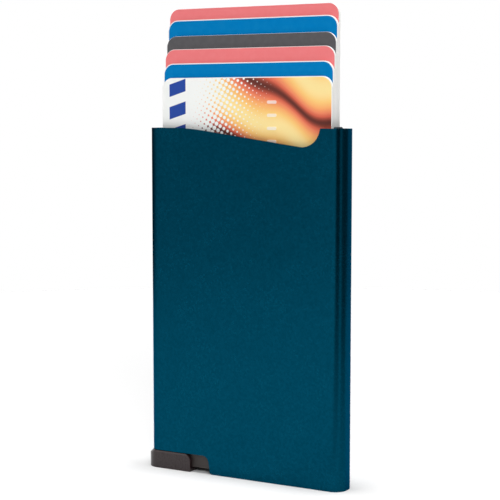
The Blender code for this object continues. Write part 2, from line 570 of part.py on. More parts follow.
def edge_foam(name, side):
    """The soft backing between a strip and the sleeve's round side."""
    radius = INNER_RADIUS - SEAT_GAP
    centre_x = INNER_HALF_WIDTH - INNER_RADIUS
    centre_y = INNER_HALF_DEPTH - INNER_RADIUS
    sweep = math.asin((STRIP_HALF - centre_y) / radius)
    outline = [(side * FOAM_INNER, STRIP_HALF), (side * FOAM_INNER, -STRIP_HALF)]
    for sign in (-1, 1):
        for step in range(CORNER_STEPS + 1):
            angle = sweep * (1 - step / CORNER_STEPS) if sign < 0 else sweep * step / CORNER_STEPS
            outline.append((side * (centre_x + radius * math.cos(angle)),
                            sign * (centre_y + radius * math.sin(angle))))
    foam = prism(name, outline, STRIP_FOOT, CASE_HEIGHT - FOAM_DEPTH_BELOW_RIM, "Z")
    return finish(foam, material("foam", 0.13, 0.13, 0.14, 0.9))


def liner(name, side):
    """A felt pad on the inside of a wide wall."""
    half = CARD_HALF - LINER_MARGIN
    outline = rounded_rectangle(-half, half, CARD_SEAT + LINER_FOOT_RISE,
                                CASE_HEIGHT - CUT_CORNER_DEPTH - LINER_BELOW_CUT, LINER_CORNER_RADIUS)
    inner = STACK_HALF + LINER_GAP
    pad = prism(name, outline, side * inner, side * (inner + LINER_THICKNESS), "Y")
    return finish(pad, material("felt", 0.12, 0.12, 0.13, 0.95))


def card(index, finish_material):
    """One card, at its raised height."""
    front = -STACK_HALF + index * PITCH
    low = card_bottom(index)
    outline = rounded_rectangle(-CARD_HALF, CARD_HALF, low, low + CARD_HEIGHT, CARD_CORNER_RADIUS)
    made = prism(f"card_{index + 1}", outline, front, front + CARD_THICKNESS, "Y")
    return finish(made, finish_material, (0, front + CARD_THICKNESS / 2, low))


def main():
    """Build every piece."""
    for old in list(bpy.data.objects):
        bpy.data.objects.remove(old)
    case_sleeve()
    base_frame()
    finger_slide()
    ejector_lever()
    pivot_pin()
    return_spring()
    edge_strip("edge_strip_left", -1, CASE_HEIGHT - LEFT_STRIP_DEPTH)
    edge_strip("edge_strip_right", 1, CASE_HEIGHT + RIGHT_STRIP_SHOWS)
    edge_foam("edge_foam_left", -1)
    edge_foam("edge_foam_right", 1)
    liner("liner_front", -1)
    liner("liner_rear", 1)
    white = material("card_white", 0.96, 0.95, 0.93, 0.35)
    blue = material("card_blue", 0.0, 0.48, 0.74, 0.35)
    salmon = material("card_salmon", 0.95, 0.49, 0.51, 0.35)
    grey = material("card_grey", 0.36, 0.36, 0.37, 0.35)
    colours = (white, blue, salmon, grey, blue, salmon)
    for index in range(CARD_COUNT):
        card(index, colours[index % len(colours)])


main()
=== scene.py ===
"""Looks of the pop up card holder: soft edges, finishes, printed cards, table and light.

Metres, +Z up. The front faces -Y, and the slide is at the front view's left.
"""
import json
import logging
import math
from dataclasses import dataclass
from enum import Enum
from typing import Callable, Optional, Sequence, Union

import bpy
import bmesh
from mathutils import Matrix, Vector


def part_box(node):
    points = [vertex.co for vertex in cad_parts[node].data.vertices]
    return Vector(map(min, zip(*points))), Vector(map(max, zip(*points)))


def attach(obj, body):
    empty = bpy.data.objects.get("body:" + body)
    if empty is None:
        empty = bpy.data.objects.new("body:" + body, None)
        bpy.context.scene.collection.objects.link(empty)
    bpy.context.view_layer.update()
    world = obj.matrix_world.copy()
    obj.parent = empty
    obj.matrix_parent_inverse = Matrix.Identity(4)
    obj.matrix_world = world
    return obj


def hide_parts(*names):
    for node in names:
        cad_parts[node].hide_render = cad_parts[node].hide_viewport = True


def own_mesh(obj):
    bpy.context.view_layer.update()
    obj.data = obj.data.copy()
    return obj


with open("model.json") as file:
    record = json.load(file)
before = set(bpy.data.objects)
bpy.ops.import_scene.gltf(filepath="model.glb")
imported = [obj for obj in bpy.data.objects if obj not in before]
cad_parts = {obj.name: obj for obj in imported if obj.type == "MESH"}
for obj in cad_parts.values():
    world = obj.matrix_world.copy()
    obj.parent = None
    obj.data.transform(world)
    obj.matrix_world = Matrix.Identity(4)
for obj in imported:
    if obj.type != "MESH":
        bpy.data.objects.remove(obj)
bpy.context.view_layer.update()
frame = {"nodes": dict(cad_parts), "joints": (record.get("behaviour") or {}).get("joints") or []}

LOG = logging.getLogger("card_holder")
MILLIMETRE = 0.001
SAME_PLACE = 0.001 * MILLIMETRE
MERGE_DISTANCE = 0.002 * MILLIMETRE
FLAT_ANGLE = math.radians(0.5)

Piece = bpy.types.Object
Material = bpy.types.Material
Socket = bpy.types.NodeSocket
Rgb = tuple[float, float, float]
Rgba = tuple[float, float, float, float]
Point = tuple[float, float, float]
Span = tuple[float, float]


class Body(str, Enum):
    """The bodies that pieces ride on."""

    CASE = "case"
    SLIDE = "slide"
    LEVER = "lever"


class Plane(Enum):
    """The drawing plane of an outline: its name says which axis the outline is extruded along."""

    ALONG_Y = 1
    ALONG_Z = 2

    def place(self, across: float, up: float, depth: float) -> Point:
        """The point at two coordinates on the drawing and a depth along the axis of extrusion."""
        return (across, depth, up) if self is Plane.ALONG_Y else (across, up, depth)


class Combine(Enum):
    """What a second solid does to the first."""

    CUT = "DIFFERENCE"
    WELD = "UNION"
    TRIM = "INTERSECT"


def linear(colour: Rgb) -> Rgba:
    """Turn an sRGB colour into the linear RGBA that shaders read."""
    values = [v / 12.92 if v <= 0.04045 else ((v + 0.055) / 1.055) ** 2.4 for v in colour]
    return (values[0], values[1], values[2], 1.0)


def toned(colour: Rgb, factor: float) -> Rgba:
    """An sRGB colour times a factor, up to white, as linear RGBA."""
    return linear(tuple(min(1.0, value * factor) for value in colour))


def grey(level: float) -> Rgba:
    """A neutral colour by its linear value."""
    return (level, level, level, 1.0)


Operand = Union["Signal", Socket, float]


class Signal:
    """A value on its way through a material; Python's operators add the Math nodes."""

    def __init__(self, graph: "Graph", socket: Socket) -> None:
        """Keep the graph and the output socket that carries the value."""
        self.graph = graph
        self.socket = socket

    def math(self, operation: str, *others: Operand) -> "Signal":
        """Add one Math node that takes this value first and then the others."""
        sockets = dict(enumerate((self, *others)))
        return self.graph.signal("Math", {"operation": operation}, sockets)

    def __add__(self, other: Operand) -> "Signal":
        """This value plus another."""
        return self.math("ADD", other)

    __radd__ = __add__

    def __mul__(self, other: Operand) -> "Signal":
        """This value times another."""
        return self.math("MULTIPLY", other)

    __rmul__ = __mul__

    def __sub__(self, other: Operand) -> "Signal":
        """This value minus another."""
        return self.math("SUBTRACT", other)

    def __rsub__(self, other: float) -> "Signal":
        """A number minus this value."""
        return self.math("MULTIPLY", -1.0) + other

    def __truediv__(self, other: Operand) -> "Signal":
        """This value over another."""
        return self.math("DIVIDE", other)

    def __abs__(self) -> "Signal":
        """This value without its sign."""
        return self.math("ABSOLUTE")

    def larger(self, other: Operand) -> "Signal":
        """The larger of this value and another."""
        return self.math("MAXIMUM", other)

    def smaller(self, other: Operand) -> "Signal":
        """The smaller of this value and another."""
        return self.math("MINIMUM", other)

    def rise(self, low: float, high: float) -> "Signal":
        """A smooth step.

        Args:
            low: Where the step starts, at 0.
            high: Where it ends, at 1. It may be below low, for a step down.

        Returns:
            The step, from 0 to 1.
        """
        if low < high:
            settings = {"interpolation_type": "SMOOTHSTEP"}
            sockets = {"Value": self, "From Min": low, "From Max": high}
            return self.graph.signal("MapRange", settings, sockets)
        return 1.0 - self.rise(high, low)

    def between(self, low: float, high: float, soft: float) -> "Signal":
        """1 from low to high, and down to 0 within soft on either side."""
        return self.rise(low - soft, low) * self.rise(high + soft, high)


Value = Union[Operand, Sequence[float]]


class Graph:
    """The nodes of one material, or of the world."""

    def __init__(self, tree: bpy.types.NodeTree) -> None:
        """Empty a node tree and build in it."""
        self.tree = tree
        tree.nodes.clear()

    def node(self, kind: str, settings: Optional[dict] = None,
             sockets: Optional[dict] = None) -> bpy.types.Node:
        """Add any node.

        Args:
            kind: The node's type, without the ShaderNode in front.
            settings: Its properties, which are set first.
            sockets: Values or links for its inputs, by name or number.

        Returns:
            The node.
        """
        made = self.tree.nodes.new(f"ShaderNode{kind}")
        for name, value in (settings or {}).items():
            setattr(made, name, value)
        for name, value in (sockets or {}).items():
            self.feed(made.inputs[name], value)
        return made

    def signal(self, kind: str, settings: Optional[dict], sockets: dict) -> Signal:
        """Add a node and take its first output as a signal."""
        return Signal(self, self.node(kind, settings, sockets).outputs[0])

    def feed(self, socket: Socket, value: Value) -> None:
        """Set an input socket or link it.

        Args:
            socket: The input.
            value: A signal or output socket to link, or a plain value.
        """
        if isinstance(value, Signal):
            self.tree.links.new(value.socket, socket)
        elif isinstance(value, Socket):
            self.tree.links.new(value, socket)
        else:
            socket.default_value = value

    def place(self, kind: str = "Object") -> tuple[Signal, ...]:
        """X, Y and Z of the object's coordinates or, by Generated, of the sky's directions."""
        sockets = {0: self.node("TexCoord").outputs[kind]}
        return tuple(Signal(self, part) for part in self.node("SeparateXYZ", None, sockets).outputs)

    def noise(self, size: float, detail: float = 2.0, stretch: Point = (1.0, 1.0, 1.0)) -> Signal:
        """Smooth noise around 0.5.

        Args:
            size: Size of its grains, in metres.
            detail: Finer octaves.
            stretch: How many times the grains repeat along each axis.

        Returns:
            The noise.
        """
        place = {"Vector": self.node("TexCoord").outputs["Object"], "Scale": stretch}
        scaled = self.node("Mapping", None, place).outputs[0]
        sockets = {"Vector": scaled, "Scale": 1 / size, "Detail": detail}
        return self.signal("TexNoise", None, sockets)

    def ramp(self, factor: Signal, stops: Sequence[tuple[float, Rgb]]) -> Socket:
        """A colour ramp.

        Args:
            factor: The place on the ramp, from 0 to 1.
            stops: Position and sRGB colour of each stop; a new ramp has two.

        Returns:
            The colour.
        """
        made = self.node("ValToRGB", None, {0: factor})
        elements = made.color_ramp.elements
        for index, (position, colour) in enumerate(stops):
            stop = elements[index] if index < 2 else elements.new(position)
            stop.position = position
            stop.color = linear(colour)
        return made.outputs[0]

    def mix(self, factor: Operand, first: Value, second: Value) -> Socket:
        """Mix two linear colours or links, where the factor is the second one's share."""
        sockets = {0: factor, 6: first, 7: second}
        return self.node("Mix", {"data_type": "RGBA"}, sockets).outputs[2]

    def bump(self, height: Signal, depth: float) -> Socket:
        """A surface normal from a height between 0 and 1, depth metres deep."""
        sockets = {"Strength": 1.0, "Distance": depth, "Height": height}
        return self.node("Bump", None, sockets).outputs[0]

    def surface(self, sockets: dict, kind: str = "BsdfPrincipled", target: str = "OutputMaterial") -> None:
        """End in one shader, joined to the output."""
        self.node(target, None, {"Surface": self.node(kind, None, sockets).outputs[0]})


def new_material(name: str) -> tuple[Material, Graph]:
    """Make an empty material and the graph to build in."""
    made = bpy.data.materials.new(name)
    made.use_nodes = True
    return made, Graph(made.node_tree)


@dataclass(frozen=True)
class Finish:
    """A surface that is the same wherever it goes."""

    name: str
    colour: Rgb

    def sockets(self, graph: Graph) -> dict:
        """What its Principled shader takes."""
        raise NotImplementedError

    def material(self) -> Material:
        """Build the material."""
        made, graph = new_material(self.name)
        graph.surface(self.sockets(graph))
        return made


@dataclass(frozen=True)
class AnodisedFinish(Finish):
    """Blasted and anodised aluminium: satin, with a fine mottle."""

    name: str = "anodised aluminium"
    colour: Rgb = (0.0, 0.222, 0.300)
    pale_colour: Rgb = (0.012, 0.268, 0.356)
    edge_tint: Rgb = (0.30, 0.50, 0.62)
    roughness: float = 0.26
    grain: float = 0.65 * MILLIMETRE
    cloud: float = 9.0 * MILLIMETRE
    blast_depth: float = 0.0026 * MILLIMETRE
    grain_steps: Span = (0.32, 0.68)
    grain_share: float = 0.55
    grain_gloss: float = 0.07
    cloud_gloss: float = 0.04

    def sockets(self, graph: Graph) -> dict:
        """What its Principled shader takes."""
        mottle = graph.noise(self.grain, 3.0)
        cloud = graph.noise(self.cloud)
        tone = mottle.rise(*self.grain_steps) * self.grain_share + cloud * (1 - self.grain_share)
        roughness = (mottle - 0.5) * self.grain_gloss + (cloud - 0.5) * self.cloud_gloss + self.roughness
        return {
            "Base Color": graph.mix(tone, linear(self.colour), linear(self.pale_colour)),
            "Metallic": 1.0, "Roughness": roughness, "Specular Tint": (*self.edge_tint, 1.0),
            "Normal": graph.bump(mottle, self.blast_depth)}


@dataclass(frozen=True)
class MouldedFinish(Finish):
    """Moulded plastic with a spark-eroded grain."""

    roughness: float = 0.5
    grain: float = 0.16 * MILLIMETRE
    grain_depth: float = 0.006 * MILLIMETRE
    cloud_grains: int = 24
    tone_spread: float = 0.10
    gloss_spread: float = 0.16
    specular: float = 0.4

    def sockets(self, graph: Graph) -> dict:
        """What its Principled shader takes."""
        grain = graph.noise(self.grain, 3.0)
        cloud = graph.noise(self.grain * self.cloud_grains)
        dark = toned(self.colour, 1 - self.tone_spread)
        pale = toned(self.colour, 1 + self.tone_spread)
        return {
            "Base Color": graph.mix(grain * 0.5 + cloud * 0.5, dark, pale),
            "Roughness": (grain - 0.5) * self.gloss_spread + self.roughness,
            "Specular IOR Level": self.specular,
            "Normal": graph.bump(grain, self.grain_depth)}


@dataclass(frozen=True)
class SteelFinish(Finish):
    """Ground or drawn steel, with fine lines along X."""

    colour: Rgb = (0.70, 0.70, 0.72)
    roughness: float = 0.28
    line: float = 0.05 * MILLIMETRE
    line_stretch: Point = (0.15, 1.0, 1.0)
    line_shade: float = 0.85
    line_depth_share: float = 0.05
    gloss_spread: float = 0.2

    def sockets(self, graph: Graph) -> dict:
        """What its Principled shader takes."""
        lines = graph.noise(self.line, stretch=self.line_stretch)
        return {
            "Base Color": graph.mix(lines, toned(self.colour, self.line_shade), linear(self.colour)),
            "Metallic": 1.0, "Roughness": (lines - 0.5) * self.gloss_spread + self.roughness,
            "Normal": graph.bump(lines, self.line_depth_share * self.line)}


@dataclass(frozen=True)
class PileFinish(Finish):
    """Felt or foam: a matt, uneven, soft surface."""

    cell: float
    sheen: float
    depth: float = 0.03 * MILLIMETRE
    shade: float = 0.7
    light: float = 1.35
    cell_steps: Span = (0.3, 0.7)
    roughness: float = 0.95

    def sockets(self, graph: Graph) -> dict:
        """What its Principled shader takes."""
        cells = graph.noise(self.cell, 4.0)
        dark = toned(self.colour, self.shade)
        pale = toned(self.colour, self.light)
        return {
            "Base Color": graph.mix(cells.rise(*self.cell_steps), dark, pale),
            "Roughness": self.roughness, "Sheen Weight": self.sheen,
            "Normal": graph.bump(cells, self.depth)}


@dataclass(frozen=True)
class CardShape:
    """Where a card lies, which its print and its edges are drawn by."""

    left: float
    right: float
    low: float
    high: float
    front: float
    back: float
    corner_radius: float = 3.18 * MILLIMETRE

    @property
    def middle(self) -> Vector:
        """The card's centre."""
        return Vector(((self.left + self.right) / 2, (self.front + self.back) / 2,
                       (self.low + self.high) / 2))

    @property
    def half_width(self) -> float:
        """Half the card's width."""
        return (self.right - self.left) / 2

    @property
    def half_height(self) -> float:
        """Half the card's height."""
        return (self.high - self.low) / 2

    def inside(self, across: Signal, up: Signal) -> Signal:
        """Distance inwards from the card's outline.

        Args:
            across: X from the card's centre.
            up: Z from the card's centre.

        Returns:
            The distance, negative outside.
        """
        flat_x = abs(across) - (self.half_width - self.corner_radius)
        flat_z = abs(up) - (self.half_height - self.corner_radius)
        past_x = flat_x.larger(0.0)
        past_z = flat_z.larger(0.0)
        round_part = (past_x * past_x + past_z * past_z).math("SQRT")
        return self.corner_radius - (round_part + flat_x.larger(flat_z).smaller(0.0))


@dataclass(frozen=True)
class CardFinish:
    """A printed, laminated plastic card: white core, greyer clear films, top edge painted grey as shade.
    """

    name: str
    colour: Rgb
    core: Rgb = (0.965, 0.96, 0.95)
    film: Rgb = (0.80, 0.805, 0.79)
    border: float = 0.25 * MILLIMETRE
    border_start: float = 0.85
    print_drop: float = 0.02 * MILLIMETRE
    film_thickness: float = 0.09 * MILLIMETRE
    film_full: float = 0.6
    film_reach: float = 0.035 * MILLIMETRE
    film_reach_full: float = 0.5
    cloud: float = 1.6 * MILLIMETRE
    cloud_steps: Span = (0.3, 0.75)
    cloud_lift: float = 0.03
    print_soft: float = 0.05 * MILLIMETRE
    stripe_colour: Rgb = (0.10, 0.095, 0.09)
    stripe_from_edge: float = 4.2 * MILLIMETRE
    stripe_width: float = 11.5 * MILLIMETRE
    panel_colour: Rgb = (0.93, 0.93, 0.90)
    panel_from_edge: float = 19.0 * MILLIMETRE
    panel_width: float = 9.5 * MILLIMETRE
    panel_from_end: float = 9.0 * MILLIMETRE
    panel_end_gap: float = 22.0 * MILLIMETRE
    tip_height: float = 0.12 * MILLIMETRE
    tip_steps: Span = (0.5, 0.9)
    tip_wear: float = 0.6
    # Painted shade on the card's top edge, against the overhead lamp: its grey and how far down it
    # reaches.
    cut_edge: Rgb = (0.80, 0.80, 0.79)
    cut_reach: float = 0.03 * MILLIMETRE
    roughness: float = 0.38
    gloss_spread: float = 0.12
    specular: float = 0.05
    ripple_clouds: int = 4
    ripple_depth: float = 0.004 * MILLIMETRE

    def face_colour(self, graph: Graph, across: Signal, up: Signal) -> Socket:
        """The print on the front.

        Args:
            graph: The material's nodes.
            across: X from the card's centre.
            up: Z from the card's centre.

        Returns:
            The print's colour.
        """
        clouds = graph.noise(self.cloud, 4.0)
        pale = tuple(value + (1 - value) * self.cloud_lift for value in self.colour)
        return graph.mix(clouds.rise(*self.cloud_steps), linear(self.colour), linear(pale))

    def tips(self, depth: Signal) -> Signal:
        """1 on top of what is raised above the front."""
        start, full = self.tip_steps
        return depth.rise(-self.tip_height * start, -self.tip_height * full)

    def back_colour(self, graph: Graph, shape: CardShape, across: Signal, up: Signal,
                    ground: Value) -> Socket:
        """The plain back, with a dark stripe and a pale panel to sign on.

        Args:
            graph: The material's nodes.
            shape: The card.
            across: X from the card's centre.
            up: Z from the card's centre.
            ground: Colour around them.

        Returns:
            The back's colour.
        """
        soft = self.print_soft
        stripe_edge = shape.half_width - self.stripe_from_edge
        stripe = across.between(stripe_edge - self.stripe_width, stripe_edge, soft)
        panel_edge = shape.half_width - self.panel_from_edge
        panel_top = shape.half_height - self.panel_from_end
        panel_low = -shape.half_height + self.panel_end_gap
        panel = across.between(panel_edge - self.panel_width, panel_edge, soft) \
            * up.between(panel_low, panel_top, soft)
        striped = graph.mix(stripe, ground, linear(self.stripe_colour))
        return graph.mix(panel, striped, linear(self.panel_colour))

    def material(self, shape: CardShape) -> Material:
        """Build the material.

        Args:
            shape: The card that it goes on.

        Returns:
            The material.
        """
        made, graph = new_material(self.name)
        x, y, z = graph.place()
        across = x - shape.middle.x
        up = z - shape.middle.z
        inside = shape.inside(across, up)
        print_inside = shape.inside(across, up + self.print_drop)
        printed = print_inside.rise(self.border * self.border_start, self.border)
        depth = y - shape.front
        thickness = shape.back - shape.front
        film_depth = self.film_thickness * self.film_full
        on_front = depth.rise(self.film_thickness, film_depth)
        on_back = depth.rise(thickness - self.film_thickness, thickness - film_depth)
        front = self.face_colour(graph, across, up)
        back = self.back_colour(graph, shape, across, up, linear(self.colour))
        outermost = inside.rise(self.film_reach, self.film_reach * self.film_reach_full)
        film = (on_front + on_back) * outermost
        core = graph.mix(film, linear(self.core), linear(self.film))
        colour = graph.mix(on_back * printed, graph.mix(on_front * printed, core, front), back)
        colour = graph.mix(self.tips(depth) * self.tip_wear, colour, linear(self.core))
        # Painted shade: the top edge is greyed so that the strong overhead lamp doesn't burn it to white.
        cut = up.rise(shape.half_height - self.cut_reach, shape.half_height)
        colour = graph.mix(cut, colour, linear(self.cut_edge))
        ripple = graph.noise(self.cloud * self.ripple_clouds)
        graph.surface({
            "Base Color": colour, "Roughness": (ripple - 0.5) * self.gloss_spread + self.roughness,
            "Specular IOR Level": self.specular,
            "Normal": graph.bump(ripple, self.ripple_depth)})
        return made


@dataclass(frozen=True)
class FrontCardFinish(CardFinish):
    """The front card: white, with blue bars, a dot screen and warm waves."""

    bar_colour: Rgb = (0.185, 0.300, 0.620)
    bar_left: float = -24.6 * MILLIMETRE
    bar_width: float = 5.4 * MILLIMETRE
    bar_pitch: float = 6.4 * MILLIMETRE
    bar_share: float = 0.56
    bar_lean: float = -0.30
    bar_soft: float = 0.06 * MILLIMETRE
    screen_start: float = 3.0 * MILLIMETRE
    screen_width: float = 34.0 * MILLIMETRE
    screen_lean: float = 0.22
    screen_fade: float = 0.05
    dot_pitch: float = 1.38 * MILLIMETRE
    dot_turn: float = math.radians(30)
    dot_reach: float = 0.76
    dot_soft: float = 0.06
    wave_turn: float = math.radians(58)
    wave_length: float = 22.0 * MILLIMETRE
    wave_bend: float = 2.0
    bend_size: float = 1.6
    bend_stretch: Point = (1.0, 1.0, 0.6)
    waves: tuple[tuple[float, Rgb], ...] = (
        (0.0, (0.400, 0.215, 0.190)), (0.07, (0.830, 0.390, 0.310)), (0.18, (0.930, 0.530, 0.390)),
        (0.40, (0.975, 0.680, 0.430)), (0.68, (0.990, 0.800, 0.490)), (1.0, (0.990, 0.890, 0.620)))

    def warm_ground(self, graph: Graph, across: Signal, up: Signal) -> Socket:
        """Soft warm waves, bent by a slow noise.

        Args:
            graph: The material's nodes.
            across: X from the card's centre.
            up: Z from the card's centre.

        Returns:
            The waves' colour.
        """
        along = across * math.cos(self.wave_turn) + up * math.sin(self.wave_turn)
        bend = graph.noise(self.wave_length * self.bend_size, 1.0, self.bend_stretch)
        phase = (along / self.wave_length + bend * self.wave_bend) * math.tau
        return graph.ramp(phase.math("SINE") * 0.5 + 0.5, self.waves)

    def dot_screen(self, across: Signal, up: Signal) -> Signal:
        """White dots on a turned grid, which grow towards the left until they meet.

        Args:
            across: X from the card's centre.
            up: Z from the card's centre.

        Returns:
            1 in a dot.
        """
        turn_x = math.cos(self.dot_turn) / self.dot_pitch
        turn_z = math.sin(self.dot_turn) / self.dot_pitch
        dot_u = (across * turn_x - up * turn_z).math("FRACT") - 0.5
        dot_v = (across * turn_z + up * turn_x).math("FRACT") - 0.5
        distance = (dot_u * dot_u + dot_v * dot_v).math("SQRT")
        place = across - up * self.screen_lean
        grown = place.rise(self.screen_start, self.screen_start - self.screen_width)
        past = distance - grown * self.dot_reach
        return past.rise(self.dot_soft, -self.dot_soft) * grown.rise(0.0, self.screen_fade)

    def bars(self, across: Signal, up: Signal) -> Signal:
        """Plain slanted bars in a column.

        Args:
            across: X from the card's centre.
            up: Z from the card's centre.

        Returns:
            1 in a bar.
        """
        edge = self.bar_soft / self.bar_pitch
        row = (up / self.bar_pitch + across * (self.bar_lean / self.bar_pitch)).math("FRACT")
        right = self.bar_left + self.bar_width - self.bar_soft
        return row.between(edge, self.bar_share - edge, edge) \
            * across.between(self.bar_left, right, self.bar_soft)

    def face_colour(self, graph: Graph, across: Signal, up: Signal) -> Socket:
        """The print on the front."""
        white = linear(self.colour)
        screened = graph.mix(self.dot_screen(across, up), self.warm_ground(graph, across, up), white)
        return graph.mix(self.bars(across, up), screened, linear(self.bar_colour))


@dataclass(frozen=True)
class Corner:
    """One corner of an outline and its radius."""

    across: float
    up: float
    radius: float = 0.0


def rectangle(low: Sequence[float], high: Sequence[float], radius: float) -> list[Corner]:
    """The rounded corners of a rectangle, anticlockwise from its lower left one."""
    places = ((low[0], low[1]), (high[0], low[1]), (high[0], high[1]), (low[0], high[1]))
    return [Corner(across, up, radius) for across, up in places]


class Bench:
    """Modelling by hand: primitives shaped in edit mode, then modifiers."""

    def __init__(self, round_segments: int = 16) -> None:
        """Keep how many segments a rounded corner gets."""
        self.round_segments = round_segments

    def clear(self) -> None:
        """Leave edit mode and deselect everything."""
        if bpy.context.object and bpy.context.object.mode != "OBJECT":
            bpy.ops.object.mode_set(mode="OBJECT")
        bpy.ops.object.select_all(action="DESELECT")

    def pick(self, piece: Piece) -> None:
        """Make one piece the selected and active one."""
        self.clear()
        piece.select_set(True)
        bpy.context.view_layer.objects.active = piece

    def circle(self, name: str, sides: int, **settings: object) -> Piece:
        """Add a named circle, which is what every piece drawn by hand starts from."""
        self.clear()
        bpy.ops.mesh.primitive_circle_add(vertices=sides, **settings)
        piece = bpy.context.object
        piece.name = name
        piece.data.name = name
        return piece

    def face_outwards(self) -> None:
        """Turn every face of the piece in edit mode outwards, then leave edit mode."""
        bpy.ops.mesh.select_all(action="SELECT")
        bpy.ops.mesh.normals_make_consistent(inside=False)
        self.clear()

    def select_vertices(self, piece: Piece, wanted: Callable[[Vector], bool]) -> None:
        """Select vertices in edit mode by their place.

        Args:
            piece: The piece in edit mode.
            wanted: Says whether a place is wanted.
        """
        mesh = bmesh.from_edit_mesh(piece.data)
        for part in (*mesh.faces, *mesh.edges):
            part.select_set(False)
        for vertex in mesh.verts:
            vertex.select_set(wanted(vertex.co))
        mesh.select_flush_mode()
        bmesh.update_edit_mesh(piece.data)

    def plate(self, name: str, corners: Sequence[Corner], plane: Plane, start: float,
              end: float) -> Piece:
        """Draw an outline, round its corners and extrude it.

        Args:
            name: The piece's name.
            corners: The outline.
            plane: The plane that it is drawn on.
            start: Where the extrusion starts.
            end: Where it ends.

        Returns:
            The closed solid.
        """
        piece = self.circle(name, len(corners), fill_type="NGON")
        for vertex, corner in zip(piece.data.vertices, corners):
            vertex.co = plane.place(corner.across, corner.up, start)
        bpy.ops.object.mode_set(mode="EDIT")
        bpy.ops.mesh.select_mode(type="VERT")
        for index, corner in enumerate(corners):
            if corner.radius:
                self.round_corner(piece, plane, corners, index, start)
        bpy.ops.mesh.select_all(action="SELECT")
        travel = plane.place(0.0, 0.0, end - start)
        bpy.ops.mesh.extrude_region_move(TRANSFORM_OT_translate={"value": travel})
        self.face_outwards()
        return piece

    def round_corner(self, piece: Piece, plane: Plane, corners: Sequence[Corner],
                     index: int, depth: float) -> None:
        """Round one corner of an outline that is still flat.

        Args:
            piece: The outline's piece, in edit mode.
            plane: Its drawing plane.
            corners: All the corners.
            index: The corner to round.
            depth: Where the outline lies along its axis.
        """
        corner = corners[index]
        place = Vector((corner.across, corner.up))
        before = corners[index - 1]
        after = corners[(index + 1) % len(corners)]
        back = Vector((before.across, before.up)) - place
        ahead = Vector((after.across, after.up)) - place
        reach = corner.radius / math.tan(back.angle(ahead) / 2)
        target = Vector(plane.place(corner.across, corner.up, depth))
        self.select_vertices(piece, lambda co: (co - target).length < SAME_PLACE)
        bpy.ops.mesh.bevel(offset=reach, segments=self.round_segments, profile=0.5, affect="VERTICES")

    def apply(self, piece: Piece, kind: str, **settings: object) -> None:
        """Add a modifier and apply it.

        Args:
            piece: The piece.
            kind: The modifier's type.
            settings: Its settings.
        """
        self.pick(piece)
        modifier = piece.modifiers.new(kind.title(), kind)
        for name, value in settings.items():
            setattr(modifier, name, value)
        bpy.ops.object.modifier_apply(modifier=modifier.name)

    def combine(self, piece: Piece, how: Combine, other: Piece) -> None:
        """Cut, weld or trim one piece with another, which is used up."""
        self.apply(piece, "BOOLEAN", operation=how.value, solver="EXACT", object=other)
        bpy.data.objects.remove(other)

    def soften(self, piece: Piece, width: float, segments: int = 3, angle: float = 40.0) -> None:
        """Round a piece's sharp edges and shade it smooth.

        Args:
            piece: The piece.
            width: Width of the rounding.
            segments: Its segments.
            angle: Edges sharper than this many degrees are rounded.
        """
        self.pick(piece)
        bpy.ops.object.shade_smooth()
        self.apply(piece, "BEVEL", width=width, segments=segments, limit_method="ANGLE",
                   angle_limit=math.radians(angle), use_clamp_overlap=True, harden_normals=True,
                   miter_outer="MITER_ARC")

    def copy_node(self, node: str, name: str) -> Piece:
        """Copy a node's mesh into a new piece and join its loose triangles.

        Args:
            node: The node.
            name: The new piece's name.

        Returns:
            The new piece, with its flat faces whole.
        """
        self.clear()
        piece = bpy.data.objects.new(name, frame["nodes"][node].data.copy())
        bpy.context.scene.collection.objects.link(piece)
        piece.data.name = name
        self.pick(piece)
        bpy.ops.object.mode_set(mode="EDIT")
        bpy.ops.mesh.select_all(action="SELECT")
        bpy.ops.mesh.remove_doubles(threshold=MERGE_DISTANCE)
        bpy.ops.mesh.customdata_custom_splitnormals_clear()
        bpy.ops.mesh.dissolve_limited(angle_limit=FLAT_ANGLE)
        self.clear()
        return piece


BENCH = Bench()


def dress(piece: Piece, material: Material) -> None:
    """Give a piece one material."""
    piece.data.materials.clear()
    piece.data.materials.append(material)


def seat(piece: Piece, material: Material, body: str, slot: str, *nodes: str) -> None:
    """Give a piece its material and let it ride on a body in place of CAD nodes.

    Args:
        piece: The piece.
        material: Its finish.
        body: The body that it rides on.
        slot: The record's material slot; not used.
        nodes: The nodes that it stands for.
    """
    dress(piece, material)
    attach(piece, body)
    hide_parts(*nodes)
    LOG.info("%s: %d faces", piece.name, len(piece.data.polygons))


def soft_copy(node: str, name: str, body: Body, slot: str, material: Material,
              softness: float, segments: int = 2) -> Piece:
    """A piece with rounded edges in place of its node.

    Args:
        node: The node.
        name: The new piece's name.
        body: The body that it rides on.
        slot: The record's material slot.
        material: Its finish.
        softness: Width of the rounding.
        segments: Its segments.

    Returns:
        The seated piece.
    """
    piece = BENCH.copy_node(node, name)
    BENCH.soften(piece, softness, segments)
    seat(piece, material, body.value, slot, node)
    return piece


def slide_joint() -> dict:
    """The joint that the slide travels on."""
    return next(joint for joint in frame["joints"] if joint["child"] == Body.SLIDE.value)


